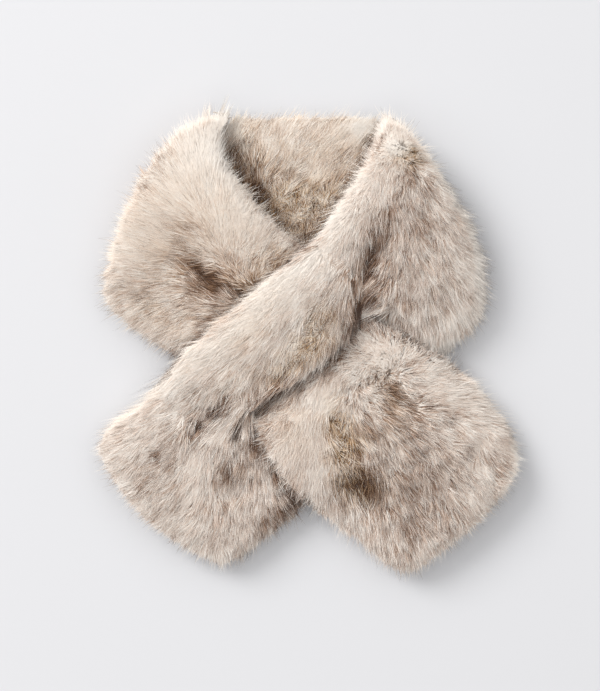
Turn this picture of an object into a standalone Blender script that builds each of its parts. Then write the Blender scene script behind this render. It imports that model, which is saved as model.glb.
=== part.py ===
# Fur collar wrap: one plush tube, slit once, laid flat with a tail drawn through.
# The tube lies folded at both shoulders.  Every stretch of it that shows is a
# closed swept body.  Tables are in millimetres, seen from above with the neck
# side at +Y, and the mesh is in metres with the resting face at z = 0.
import math

import bmesh
import bpy
import numpy as np
from mathutils import Vector
from mathutils.bvhtree import BVHTree

MM = 0.001

# Sewing and lying.
SEAM_GAP = 0.3        # clear space between two sewn stretches
LAYER_GAP = 0.35      # clear space between two lying layers
MIN_THICK = 13.0      # thinnest pressed tube
STATION_STEP = 9.0    # spacing of the sections along a stretch
LENGTH_SAMPLES = 240  # points by which a stretch's length is measured
LOOK = 0.05           # share of a table row by which the heading is read
NOSE = 20.0           # length over which a closed end rounds off
NOSE_STEPS = (0.0, 0.07, 0.27, 0.58)   # sections in the nose, as shares of it
NOSE_FLOOR = 0.22     # share of the height left at the tip of a nose
NOSE_TUCK = 9.0       # how far the corners draw in at the tip
NOSE_LEVEL = 0.42     # height share towards which a nose closes

# Resting grid: heights of what already lies beneath a stretch.
CELL = 3.0
REACH_X = 240.0
REACH_Y = 264.0
SPREAD_CELLS = 4      # how far a layer bridges past the edge beneath it
SOFTEN_CELLS = 2      # how softly it comes down again
RAY_TOP = 400.0

# Tube section: share across (-1 inner edge, 1 outer edge), share of the height.
SECTION = (
    (-0.86, 0.00), (-0.65, 0.00), (-0.43, 0.00), (-0.21, 0.00), (0.00, 0.00),
    (0.21, 0.00), (0.43, 0.00), (0.65, 0.00), (0.86, 0.00),
    (0.95, 0.07), (1.00, 0.30), (0.985, 0.56), (0.93, 0.77),
    (0.84, 0.90), (0.70, 0.97), (0.53, 1.00), (0.36, 1.01), (0.18, 1.015),
    (0.00, 1.02), (-0.18, 1.015), (-0.36, 1.01), (-0.53, 1.00), (-0.70, 0.97),
    (-0.84, 0.90), (-0.93, 0.77), (-0.985, 0.56), (-1.00, 0.30), (-0.95, 0.07),
)
TOP_FROM = 0.5        # section points above this height share carry the relief

# Columns of every stretch: inner edge x, y, outer edge x, y, height of the fur
# above the ground at the inner edge, the middle and the outer edge, and how far
# the section bows forward in plan.
NECK_BACK = (
    (-77.0, 217.0, -163.0, 48.0, 18.0, 20.0, 18.0, 0.0),
    (-56.0, 219.0, -108.0, 45.0, 20.0, 22.0, 20.0, 0.0),
    (-28.0, 221.5, -45.0, 43.0, 25.0, 27.0, 22.0, 0.0),
    (-1.0, 222.0, 10.0, 43.0, 26.0, 28.0, 22.0, 0.0),
    (29.0, 222.0, 69.0, 43.0, 25.0, 27.0, 22.0, 0.0),
    (50.0, 221.0, 110.0, 45.0, 20.0, 22.0, 20.0, 0.0),
    (69.0, 218.0, 140.0, 48.0, 18.0, 20.0, 18.0, 0.0),
)
LEFT_COLLAR = (
    (-71.0, 221.0, -90.0, 222.0, 40.0, 40.0, 38.0, 0.0),
    (-79.0, 203.0, -123.0, 208.0, 50.0, 52.0, 44.0, 0.0),
    (-77.0, 178.0, -153.0, 177.0, 54.0, 56.0, 48.0, 0.0),
    (-63.0, 155.0, -176.0, 134.0, 55.0, 56.0, 46.0, 0.0),
    (-45.0, 131.0, -193.0, 88.0, 53.0, 52.0, 40.0, 0.0),
    (-26.0, 112.0, -197.0, 46.0, 50.0, 46.0, 34.0, 0.0),
    (-8.0, 97.0, -172.0, 16.0, 46.0, 42.0, 33.0, 0.0),
    (12.0, 84.0, -128.0, -8.0, 43.0, 40.0, 34.0, 0.0),
    (31.0, 66.0, -82.0, -27.0, 41.0, 39.0, 36.0, 0.0),
    (45.0, 43.0, -50.0, -47.0, 41.0, 39.0, 39.0, 0.0),
)
RIGHT_COLLAR = (
    (65.0, 221.0, 84.0, 220.0, 40.0, 40.0, 38.0, 0.0),
    (62.0, 199.0, 109.0, 195.0, 50.0, 52.0, 44.0, 0.0),
    (50.0, 173.0, 132.0, 160.0, 55.0, 55.0, 47.0, 0.0),
    (34.0, 149.0, 152.0, 127.0, 57.0, 53.0, 44.0, 0.0),
    (20.0, 127.0, 168.0, 87.0, 59.0, 50.0, 38.0, 0.0),
    (10.0, 112.0, 172.0, 46.0, 61.0, 47.0, 32.0, 0.0),
    (5.0, 106.0, 158.0, 14.0, 63.0, 46.0, 30.0, 0.0),
    (2.0, 103.0, 130.0, -6.0, 64.0, 50.0, 28.0, 0.0),
)
STRAP = (
    (2.0, 103.0, 59.3, 54.2, 65.0, 62.0, 54.0, 0.0),
    (-21.0, 82.0, 49.0, 24.0, 67.0, 67.0, 60.0, 0.0),
    (-45.0, 63.0, 33.0, -1.0, 68.0, 69.0, 61.0, 0.0),
    (-67.0, 43.0, 9.0, -21.0, 68.0, 68.0, 60.0, 0.0),
    (-93.0, 20.0, -19.0, -39.0, 65.0, 64.0, 56.0, 0.0),
    (-115.0, 1.0, -41.0, -52.0, 57.0, 58.0, 52.0, 0.0),
    (-136.0, -24.0, -60.3, -66.4, 46.0, 44.0, 38.0, 0.0),
)
UNDER_STRAP = (
    (59.9, 53.8, 130.0, -6.0, 46.0, 38.0, 28.0, 0.0),
    (41.0, 31.0, 112.0, -25.0, 23.0, 23.0, 22.0, 0.0),
    (25.0, 11.0, 98.0, -40.0, 18.0, 19.0, 18.0, 0.0),
    (-15.0, -27.0, 56.0, -74.0, 17.0, 18.0, 17.0, 0.0),
    (-59.7, -66.8, 12.0, -107.0, 22.0, 24.0, 22.0, 0.0),
)
LEFT_TAIL = (
    (-136.0, -24.0, 12.0, -107.0, 46.0, 38.0, 22.0, 0.0),
    (-150.0, -42.0, 6.0, -128.0, 41.0, 36.0, 24.0, 0.0),
    (-172.0, -55.0, -4.0, -146.0, 36.0, 35.0, 27.0, 2.0),
    (-192.0, -72.0, -16.0, -163.0, 34.0, 35.0, 29.0, 5.0),
    (-202.0, -97.0, -38.0, -184.0, 33.0, 35.0, 31.0, 8.0),
    (-193.0, -124.0, -80.0, -215.0, 31.0, 33.0, 30.0, 10.0),
)
RIGHT_TAIL = (
    (45.0, 43.0, -50.0, -47.0, 41.0, 39.0, 40.0, 0.0),
    (62.0, 26.0, -54.0, -66.0, 44.0, 46.0, 46.0, 0.0),
    (90.0, 12.0, -50.0, -86.0, 44.0, 50.0, 50.0, 0.0),
    (122.0, -8.0, -34.0, -113.0, 40.0, 50.0, 51.0, 0.0),
    (152.0, -26.0, -13.0, -140.0, 36.0, 47.0, 47.0, 0.0),
    (174.0, -48.0, 12.0, -162.0, 34.0, 41.0, 40.0, 2.0),
    (193.0, -78.0, 42.0, -185.0, 33.0, 36.0, 35.0, 4.0),
    (204.0, -108.0, 72.0, -210.0, 32.0, 34.0, 33.0, 6.0),
    (196.0, -134.0, 92.0, -222.0, 31.0, 33.0, 31.0, 6.0),
)

# Largest creases and puffs: stretch, centre x, y, reach, rise of the top face.
RELIEF = (
    ("left_collar", -94.0, 62.0, 24.0, -7.0),
    ("left_collar", -120.0, 84.0, 20.0, -4.0),
    ("left_collar", -150.0, 42.0, 15.0, -4.0),
    ("left_collar", -142.0, 138.0, 28.0, 3.0),
    ("left_collar", -70.0, 110.0, 24.0, 3.0),
    ("right_collar", 70.0, 104.0, 14.0, -5.0),
    ("right_collar", 60.0, 78.0, 14.0, -6.0),
    ("right_collar", 34.0, 122.0, 20.0, 4.0),
    ("right_collar", 118.0, 72.0, 26.0, 4.0),
    ("strap", -4.0, 26.0, 15.0, -3.0),
    ("strap", -30.0, -16.0, 14.0, -3.0),
    ("strap", -20.0, 56.0, 22.0, 3.0),
    ("left_tail", -100.0, -60.0, 18.0, -5.0),
    ("left_tail", -80.0, -122.0, 18.0, -4.0),
    ("left_tail", -146.0, -76.0, 22.0, 3.0),
    ("right_tail", -16.0, -80.0, 24.0, 4.0),
    ("right_tail", 30.0, -80.0, 17.0, -4.0),
    ("right_tail", 50.0, -138.0, 17.0, -6.0),
    ("right_tail", 84.0, -42.0, 20.0, -3.0),
    ("right_tail", 120.0, -96.0, 28.0, 3.0),
    ("neck_back", -2.0, 126.0, 22.0, -5.0),
)

# Stretch, its table, closed nose at the start, closed nose at the end, and the
# stretches that lie beneath it.  They are laid down in this order.
LAYING = (
    ("neck_back", NECK_BACK, True, True, ()),
    ("under_strap", UNDER_STRAP, False, False, ("neck_back",)),
    ("left_tail", LEFT_TAIL, False, True, ()),
    ("right_collar", RIGHT_COLLAR, True, False, ("neck_back",)),
    ("left_collar", LEFT_COLLAR, True, False, ("neck_back", "under_strap")),
    ("right_tail", RIGHT_TAIL, False, True,
     ("neck_back", "under_strap", "left_tail")),
    ("strap", STRAP, False, False,
     ("neck_back", "under_strap", "left_collar", "right_tail")),
)

# Fur colour of each stretch, linear red, green, blue.
FUR_COLOURS = {
    "neck_back": (0.42, 0.33, 0.26),
    "left_collar": (0.62, 0.53, 0.44),
    "right_collar": (0.64, 0.55, 0.47),
    "strap": (0.70, 0.61, 0.52),
    "under_strap": (0.50, 0.42, 0.35),
    "left_tail": (0.60, 0.51, 0.43),
    "right_tail": (0.58, 0.49, 0.41),
}
FUR_ROUGHNESS = 0.9
FUR_SHEEN = 0.35


def clear_scene():
    for obj in list(bpy.data.objects):
        bpy.data.objects.remove(obj, do_unlink=True)


def row_at(rows, place):
    """Catmull-Rom value of a table at a place from 0 to the last row."""
    last = len(rows) - 1
    k = min(int(place), last - 1)
    t = place - k
    p1 = rows[k]
    p2 = rows[k + 1]
    p0 = rows[k - 1] if k > 0 else 2.0 * p1 - p2
    p3 = rows[k + 2] if k + 2 <= last else 2.0 * p2 - p1
    a = 2.0 * p1
    b = (p2 - p0) * t
    c = (2.0 * p0 - 5.0 * p1 + 4.0 * p2 - p3) * t * t
    d = (3.0 * p1 - p0 - 3.0 * p2 + p3) * t * t * t
    return 0.5 * (a + b + c + d)


def mid_lengths(rows):
    """Places along a table and the length of the middle line up to each."""
    places = np.linspace(0.0, len(rows) - 1.0, LENGTH_SAMPLES)
    mids = []
    for place in places:
        row = row_at(rows, place)
        mids.append((row[0:2] + row[2:4]) / 2.0)
    steps = np.linalg.norm(np.diff(np.array(mids), axis=0), axis=1)
    return places, np.concatenate(([0.0], np.cumsum(steps)))


def station_lengths(total, nose_start, nose_end):
    """Distances along a stretch at which its sections stand."""
    head = NOSE if nose_start else 0.0
    tail = NOSE if nose_end else 0.0
    count = max(2, int(round((total - head - tail) / STATION_STEP)))
    body = list(np.linspace(head, total - tail, count + 1))
    if nose_start:
        body = [NOSE * share for share in NOSE_STEPS] + body
    if nose_end:
        body = body + [total - NOSE * share for share in reversed(NOSE_STEPS)]
    return body


def nose_share(distance):
    """Height share left at a distance from a closed end."""
    if distance >= NOSE:
        return 1.0
    lean = 1.0 - distance / NOSE
    round_off = math.sqrt(max(0.0, 1.0 - lean * lean))
    return NOSE_FLOOR + (1.0 - NOSE_FLOOR) * round_off


def level_across(row, across):
    """Fur height between inner edge, middle and outer edge, by a parabola."""
    inner, middle, outer = row[4], row[5], row[6]
    slope = (outer - inner) / 2.0
    curve = (outer + inner) / 2.0 - middle
    return middle + slope * across + curve * across * across


def relief_at(name, x, y):
    """Rise of the creases and puffs of one stretch at a point in plan."""
    rise = 0.0
    for owner, cx, cy, reach, height in RELIEF:
        if owner == name:
            away = ((x - cx) ** 2 + (y - cy) ** 2) / (2.0 * reach * reach)
            rise += height * math.exp(-away)
    return rise


def resting_grid(trees):
    """Heights of the bodies beneath, spread past their edges and softened."""
    nx = int(2 * REACH_X / CELL) + 1
    ny = int(2 * REACH_Y / CELL) + 1
    grid = np.zeros((nx, ny))
    down = Vector((0.0, 0.0, -1.0))
    for ix in range(nx):
        for iy in range(ny):
            x = (ix * CELL - REACH_X) * MM
            y = (iy * CELL - REACH_Y) * MM
            for tree in trees:
                hit = tree.ray_cast(Vector((x, y, RAY_TOP * MM)), down)[0]
                if hit is not None:
                    grid[ix, iy] = max(grid[ix, iy], hit.z / MM + LAYER_GAP)
    spread = grid.copy()
    for dx in range(-SPREAD_CELLS, SPREAD_CELLS + 1):
        for dy in range(-SPREAD_CELLS, SPREAD_CELLS + 1):
            if dx * dx + dy * dy <= SPREAD_CELLS * SPREAD_CELLS:
                spread = np.maximum(spread, np.roll(grid, (dx, dy), (0, 1)))
    total = np.zeros((nx, ny))
    taken = 0
    for dx in range(-SOFTEN_CELLS, SOFTEN_CELLS + 1):
        for dy in range(-SOFTEN_CELLS, SOFTEN_CELLS + 1):
            total += np.roll(spread, (dx, dy), (0, 1))
            taken += 1
    return total / taken


def ground_at(grid, x, y):
    """Resting height under a point in plan, between four grid cells."""
    fx = (x + REACH_X) / CELL
    fy = (y + REACH_Y) / CELL
    ix = int(fx)
    iy = int(fy)
    tx = fx - ix
    ty = fy - iy
    low = grid[ix, iy] * (1.0 - tx) + grid[ix + 1, iy] * tx
    high = grid[ix, iy + 1] * (1.0 - tx) + grid[ix + 1, iy + 1] * tx
    return low * (1.0 - ty) + high * ty


def section_ring(name, row, ahead, share, grid):
    """Points of one closed section, from the row of the table at its place."""
    inner = row[0:2]
    outer = row[2:4]
    line = outer - inner
    width = np.linalg.norm(line)
    line = line / width
    normal = np.array((-line[1], line[0]))
    if np.dot(normal, ahead) < 0.0:
        normal = -normal
    tuck = NOSE_TUCK * (1.0 - share)
    half = max(width / 2.0 - tuck, width / 4.0)
    middle = (inner + outer) / 2.0
    ring = []
    for across, height in SECTION:
        spot = middle + line * half * across
        spot = spot + normal * row[7] * (1.0 - across * across)
        ground = ground_at(grid, spot[0], spot[1])
        level = max(level_across(row, across), ground + MIN_THICK)
        if height > TOP_FROM:
            level += relief_at(name, spot[0], spot[1])
        closing = NOSE_LEVEL + (height - NOSE_LEVEL) * share
        z = ground + closing * (level - ground)
        ring.append((spot[0], spot[1], z))
    return np.array(ring), normal


def swept_body(name, rows, nose_start, nose_end, grid):
    """Closed body of one stretch of the tube, standing on its resting grid."""
    places, lengths = mid_lengths(rows)
    total = lengths[-1]
    stops = station_lengths(total, nose_start, nose_end)
    rings = []
    for stop in stops:
        place = float(np.interp(stop, lengths, places))
        row = row_at(rows, place)
        before = row_at(rows, max(place - LOOK, 0.0))
        after = row_at(rows, min(place + LOOK, len(rows) - 1.0))
        ahead = (after[0:2] + after[2:4]) - (before[0:2] + before[2:4])
        share = 1.0
        if nose_start:
            share = min(share, nose_share(stop))
        if nose_end:
            share = min(share, nose_share(total - stop))
        ring, normal = section_ring(name, row, ahead, share, grid)
        if stop == stops[0] and not nose_start:
            ring[:, 0:2] += normal * SEAM_GAP / 2.0
        if stop == stops[-1] and not nose_end:
            ring[:, 0:2] -= normal * SEAM_GAP / 2.0
        rings.append(ring)
    return rings


def end_corners():
    """Corners of the faces that close an end, laid between top and bottom."""
    outer = [place for place, _ in SECTION].index(1.0)
    inner = [place for place, _ in SECTION].index(-1.0)
    around = len(SECTION)
    over = list(range(outer, inner + 1))
    under = [j % around for j in range(outer, inner - around - 1, -1)]
    faces = []
    i = 0
    k = 0
    while i < len(over) - 1 or k < len(under) - 1:
        over_next = SECTION[over[min(i + 1, len(over) - 1)]][0]
        under_next = SECTION[under[min(k + 1, len(under) - 1)]][0]
        step_over = i < len(over) - 1 and over_next >= under_next
        if step_over or k == len(under) - 1:
            face = (over[i], over[i + 1], under[k])
            i += 1
        else:
            face = (over[i], under[k], under[k + 1])
            k += 1
        if len(set(face)) == 3:
            faces.append(face)
    return faces


def closed_mesh(name, rings):
    """Mesh object with a skin over the rings and a ladder on either end."""
    bm = bmesh.new()
    grid = []
    for ring in rings:
        grid.append([bm.verts.new(Vector(point) * MM) for point in ring])
    around = len(SECTION)
    for k in range(len(grid) - 1):
        for j in range(around):
            n = (j + 1) % around
            a, b = grid[k][j], grid[k][n]
            c, d = grid[k + 1][n], grid[k + 1][j]
            if (k + j) % 2:
                bm.faces.new((a, b, c))
                bm.faces.new((a, c, d))
            else:
                bm.faces.new((a, b, d))
                bm.faces.new((b, c, d))
    for verts in (grid[0], grid[-1]):
        for corners in end_corners():
            bm.faces.new([verts[j] for j in corners])
    bmesh.ops.recalc_face_normals(bm, faces=bm.faces)
    mesh = bpy.data.meshes.new(name)
    bm.to_mesh(mesh)
    bm.free()
    obj = bpy.data.objects.new(name, mesh)
    bpy.context.scene.collection.objects.link(obj)
    return obj


def fur_material(name):
    mat = bpy.data.materials.new(name + "_fur")
    mat.use_nodes = True
    shader = mat.node_tree.nodes["Principled BSDF"]
    shader.inputs["Base Color"].default_value = FUR_COLOURS[name] + (1.0,)
    shader.inputs["Roughness"].default_value = FUR_ROUGHNESS
    shader.inputs["Sheen Weight"].default_value = FUR_SHEEN
    return mat


def tree_of(obj):
    verts = [v.co.copy() for v in obj.data.vertices]
    faces = [tuple(p.vertices) for p in obj.data.polygons]
    return BVHTree.FromPolygons(verts, faces)


def centre_on_floor(objects):
    """Move every body so that the middle of the bottom is the origin."""
    points = [v.co for obj in objects for v in obj.data.vertices]
    low = [min(p[i] for p in points) for i in range(3)]
    high = [max(p[i] for p in points) for i in range(3)]
    shift = Vector((-(low[0] + high[0]) / 2, -(low[1] + high[1]) / 2, -low[2]))
    for obj in objects:
        for v in obj.data.vertices:
            v.co += shift


def main():
    clear_scene()
    laid = {}
    for name, rows, nose_start, nose_end, beneath in LAYING:
        table = np.array(rows)
        grid = resting_grid([tree_of(laid[other]) for other in beneath])
        rings = swept_body(name, table, nose_start, nose_end, grid)
        obj = closed_mesh(name, rings)
        obj.data.materials.append(fur_material(name))
        laid[name] = obj
    centre_on_floor(list(laid.values()))


main()
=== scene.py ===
import itertools
import math

import bmesh
import bpy
import numpy as np
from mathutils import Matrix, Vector
from mathutils.bvhtree import BVHTree


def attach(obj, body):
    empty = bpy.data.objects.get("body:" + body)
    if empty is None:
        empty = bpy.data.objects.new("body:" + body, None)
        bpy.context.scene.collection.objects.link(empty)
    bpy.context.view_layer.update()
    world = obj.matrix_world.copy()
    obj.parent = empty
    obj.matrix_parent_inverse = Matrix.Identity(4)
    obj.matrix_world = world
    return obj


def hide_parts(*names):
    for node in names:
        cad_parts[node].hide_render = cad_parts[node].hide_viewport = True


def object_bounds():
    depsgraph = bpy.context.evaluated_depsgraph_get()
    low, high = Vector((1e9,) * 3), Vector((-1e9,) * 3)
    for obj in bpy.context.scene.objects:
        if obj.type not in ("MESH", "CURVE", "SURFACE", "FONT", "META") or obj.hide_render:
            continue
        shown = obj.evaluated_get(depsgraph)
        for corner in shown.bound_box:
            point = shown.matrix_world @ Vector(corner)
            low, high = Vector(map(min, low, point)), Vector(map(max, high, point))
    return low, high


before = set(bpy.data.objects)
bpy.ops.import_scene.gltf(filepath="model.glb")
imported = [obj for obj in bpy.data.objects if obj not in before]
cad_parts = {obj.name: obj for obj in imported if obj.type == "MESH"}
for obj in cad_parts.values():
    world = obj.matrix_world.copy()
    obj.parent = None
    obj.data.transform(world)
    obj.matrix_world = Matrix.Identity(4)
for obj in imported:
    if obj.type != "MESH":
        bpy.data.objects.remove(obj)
cad_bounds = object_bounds()

MM = 0.001
SEED = 7

# The overhead picture: millimetres to a point of it, and where its middle lies.
PICTURE_WIDE = 600.0
PICTURE_HIGH = 691.0
PICTURE_MM = 0.95
PICTURE_MIDDLE_X = -9.7
PICTURE_MIDDLE_Y = -0.5

# Backing, below the tips of the coat.
CAP_FACES = 12         # coplanar upright faces that make up a CAD end cap
SKIN_TOP = 9.0
SKIN_SIDE = 16.0
SKIN_LOW = 3.0
SKIN_SHARE = 0.38      # of the local thickness, where the tube is thin
EASING = 4
PRESSED = 8.0          # height below which the tube is pressed and has no creases
COVER_REACH = 12.0     # how far hairs go on under a stretch that lies on top
UNDERSIDE_SHARE = 0.06

# Hairs.  Guard hairs are the long thin ones that stand out of the coat.
HAIR_LENGTH = 25.5
HAIR_WIDTH = 0.70
CALM_WIDE = 1.3        # hairs are wider and lie closer in the smooth parts
WALL_LIT = 6.0         # how far the shading of a wall's loose coat turns upwards
HAIR_BELLY = 0.42      # where along a hair it is widest
FLOOR_CLEAR = 0.6
GUARD_SHARE = 0.12
GUARD_LONG = 1.2
GUARD_THIN = 0.5
GUARD_REACH = 0.65
EDGE_REACH = 0.5
RIM_TUFT = 0.55        # how unevenly long the tufts round a wall are
RIM_LONG = 0.7         # how much longer a wall's longest single hairs are
REACH_LEAST = 0.3      # how far past the solids' faces tips may stand
REACH_TUFT = 10.0      # the raggedest tufts
REACH_SINGLE = 19.0    # the longest single hairs
REACH_UP = 9.0         # the same, at most, on top
RIM_SHARE = 0.22       # how open a wall is where its hairs are loose and let light by
LOW_COAT = 28.0        # height below which a wall's coat stays further in
LOW_SOFT = 12.0        # how much further, by the floor
EDGE_SOFT = 5.0        # depth over which it thins out at an edge over another stretch
RIM_FADE = 0.5         # how soon it thins out
RIM_SOFT = 17.0        # depth over which the coat thins out towards a wall's face
SOFT_MOST = 13.5       # the most that a hair is held back by these
DROOP = 0.22
BLADE_ROLL = 0.6
BELLY_UP = 1.5         # the belly bows up from the straight line to the tip
BELLY_AHEAD = 0.85
WIDTH_LEAST = 0.6      # shares of the width, from hair to hair
WIDTH_SPREAD = 0.6
SINGLE_RARE = 2.5      # how rare the longest single hairs are
CALM_OWN = 0.04        # share of its own blade in a hair's shading
LIVELY_OWN = 0.5

# How high tips stand, as shares of the way from the backing to the solids' faces.
TOP_RISE = 0.98
CALM_RISE = 0.5        # how much of the tufts' unevenness shows
LIVELY_RISE = 0.8
BIG_RISE = 0.2
MID_RISE = 0.25
SMALL_RISE = 0.15
MEAN_RISE = 0.3
WALL_RISE = (0.15, 0.35, 0.45, 0.25)    # all tufts, big, middling, small ones
HAIR_RISE = 0.08
GUARD_RISE = 0.18
UNSETTLED_RISE = 0.10
CURLY_SHORTER = 0.45
UNDER_LENGTH = 0.3     # share of the length on the underside

# Tufts: size of a cell, swing of the lie, share of the pull to the middle.
BIG_TUFT = 17.0
MID_TUFT = 9.0
SMALL_TUFT = 3.5
BIG_SWING = 0.6
MID_SWING = 0.7
SMALL_SWING = 0.5
HAIR_SWING = 0.12
MID_PULL = 0.50
SMALL_PULL = 0.75
PULL_LIMIT = 5.5
PULL_RIM = 3.0         # how much further round a wall

# Unevenness of the tone, in the streaked parts.
BIG_TONE = 0.42
MID_TONE = 0.65
SMALL_TONE = 0.68
STREAK = 12.0          # how far the tones of big and middling tufts are drawn out
STREAK_STEPS = (-1.0, -0.5, 0.0, 0.5, 1.0)
HAIR_TONE_LOW = 0.015
HAIR_TONE_HIGH = 0.35
CALM_TONE = 0.11       # below this tone the coat is smooth and even
LIVELY_TONE = 0.36     # above this one it is streaked and tufted
RIM_PAINTED_LIGHT = 0.14        # how much paler the loose coat round an open wall is: painted light for light through the loose fur
RIM_TIP_PAINTED_LIGHT = 0.22        # how much whiter its tips are, also painted light

# The lie, from the rows of FLOWS, and how tufts and hairs turn out of it.
FLOW_REACH = 20.0
TIP_AHEAD = 18.0       # how far past its root the part of a hair that shows lies
UNSETTLED_SWING = 0.9  # where the lies part or meet, tufts turn any way
UNSETTLED_SWEEP = 0.25
CALM_SWING = 0.25      # share of their swing and pull that smooth parts keep
CALM_PULL = 0.3
GUARD_PULL = 0.35
DARK_SWING_TONES = (0.5, 1.0)
DARK_SWING_SHARES = (1.0, 0.4)
STRAY_UNSETTLED = 4.0  # how much further hairs stray where lies part or meet
STRAY_CURLY = 5.0
STRAY_SMOOTHED = 2.5
WALL_AHEAD = 0.2
CURLY_AHEAD = 0.5

# How pale tips are.
TIP_LIFT = 0.45        # and how much less so where the coat is dark
DARK_LIFT = 0.40
TUFT_LIFT = 0.8
GUARD_LIFT = 0.8

CURLY_GOLD = 0.4       # the coat is curly where it is more golden than this
GOLD_CONTRAST = 1.7

# Where other stretches close in on the coat, little light reaches in: painted shade darkens its colour
# there, by these tones at these shares of closeness.
CLOSE_RAYS = 48
CLOSE_REACH = 30.0
CLOSE_SHARES = (0.20, 0.36, 0.50)
CLOSED_IN_SHADE = (0.0, 0.10, 0.42)

# Colours from pale to dark: tone, linear red, green, blue.
TONES = (
    (0.00, 0.92, 0.865, 0.81),
    (0.25, 0.86, 0.735, 0.64),
    (0.50, 0.67, 0.495, 0.395),
    (0.75, 0.42, 0.265, 0.18),
    (1.00, 0.22, 0.118, 0.068),
    (1.40, 0.07, 0.034, 0.02),
)
GOLD_TONES = (
    (0.00, 0.90, 0.79, 0.67),
    (0.25, 0.84, 0.645, 0.44),
    (0.50, 0.67, 0.435, 0.235),
    (0.75, 0.43, 0.24, 0.10),
    (1.00, 0.23, 0.115, 0.045),
    (1.40, 0.08, 0.038, 0.02),
)
PALE_TIP = (0.95, 0.925, 0.89)
GUARD_TIP = (0.07, 0.045, 0.04)

# Stretch: coat, hairs, what lies on it, what it lies on, how its cloth is held.
STRETCHES = {
    "neck_back": ("neck", 42000, ("left_collar", "right_collar", "strap"), (), "laid"),
    "under_strap": ("right", 10000, ("left_collar", "right_tail", "strap"), ("neck_back",), "laid"),
    "left_tail": ("right", 78000, ("right_tail",), (), "laid"),
    "right_collar": ("right", 85000, (), ("neck_back",), "folded"),
    "left_collar": ("left", 92000, ("strap",), ("neck_back", "under_strap"), "folded"),
    "right_tail": ("left", 96000, ("strap",), ("neck_back", "under_strap", "left_tail"), "laid"),
    "strap": ("right", 62000, (), ("left_collar", "right_tail"), "laid"),
}

# Lie of each coat: picture x, y, lie to the right, lie downwards.
LEFT_FLOWS = (
    # shoulder and long outer edge of the left collar
    (212, 120, 0.0, -1.0), (230, 118, 0.7, -0.7), (225, 142, 0.4, -0.92), (190, 127, -0.4, -0.95),
    (165, 150, -0.7, -0.7), (140, 190, -0.87, -0.5), (120, 230, -0.97, -0.25), (105, 270, -1.0, 0.0),
    (115, 310, -0.9, 0.45), (150, 335, -0.7, 0.7), (165, 355, -0.5, 0.85),
    # its broad middle and the edge along the neck
    (180, 180, -0.8, -0.6), (180, 230, -0.95, -0.3), (170, 280, -1.0, 0.0), (200, 320, -0.8, 0.5),
    (200, 165, -0.35, -0.9), (228, 165, 0.9, -0.45), (242, 190, 0.92, -0.4), (258, 209, 0.9, -0.4),
    (276, 228, 0.85, -0.5), (288, 242, 0.8, -0.6), (215, 200, -0.2, -1.0), (226, 232, -0.1, -0.9),
    (245, 248, 0.4, -0.85), (265, 262, 0.75, -0.6), (280, 262, 0.8, -0.55), (255, 278, 0.1, -0.9),
    (200, 264, -0.85, -0.5), (220, 278, -0.8, -0.55), (243, 294, -0.75, -0.55), (190, 288, -0.95, 0.0),
    (212, 303, -0.9, 0.1), (232, 312, -0.85, 0.2), (192, 240, -0.85, -0.5),
    # right tail, round its edge
    (262, 430, -0.95, 0.15), (268, 458, -0.8, 0.6), (283, 482, -0.7, 0.7), (305, 508, -0.5, 0.85),
    (335, 530, -0.35, 0.93), (370, 558, -0.2, 0.97), (400, 572, 0.05, 1.0), (430, 565, 0.35, 0.93),
    (460, 545, 0.55, 0.85), (490, 515, 0.75, 0.65), (515, 480, 0.9, 0.4), (518, 450, 0.98, 0.1),
    (500, 410, 0.95, -0.2), (470, 378, 0.8, -0.5), (435, 352, 0.45, -0.85), (400, 335, 0.15, -0.95),
    (375, 330, 0.05, -0.95),
    # right tail, from the pale puff and the swirl beside it to the broad back
    (290, 415, -0.6, 0.4), (300, 450, -0.3, 0.9), (310, 396, -0.3, 0.9), (330, 395, -0.4, 0.9),
    (343, 376, -0.6, 0.8), (358, 364, -0.8, 0.55), (380, 358, -0.9, 0.35), (372, 340, -0.5, -0.5),
    (388, 335, 0.2, -0.95), (405, 350, 0.5, -0.8), (345, 430, 0.3, 0.9), (325, 425, -0.1, 0.95),
    (362, 422, 0.5, 0.85), (368, 402, 0.8, 0.5), (395, 398, 0.9, 0.4), (415, 378, 0.9, -0.1),
    (440, 385, 0.9, -0.35), (400, 430, 0.55, 0.8), (440, 425, 0.7, 0.65), (470, 405, 1.0, -0.1),
    (472, 448, 0.1, 0.95), (492, 478, 0.75, 0.65), (330, 480, -0.1, 0.95), (370, 480, 0.2, 0.95),
    (410, 480, 0.4, 0.9), (450, 490, 0.6, 0.8), (350, 520, -0.1, 0.98), (400, 525, 0.25, 0.95),
    (440, 530, 0.5, 0.85),
)
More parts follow.
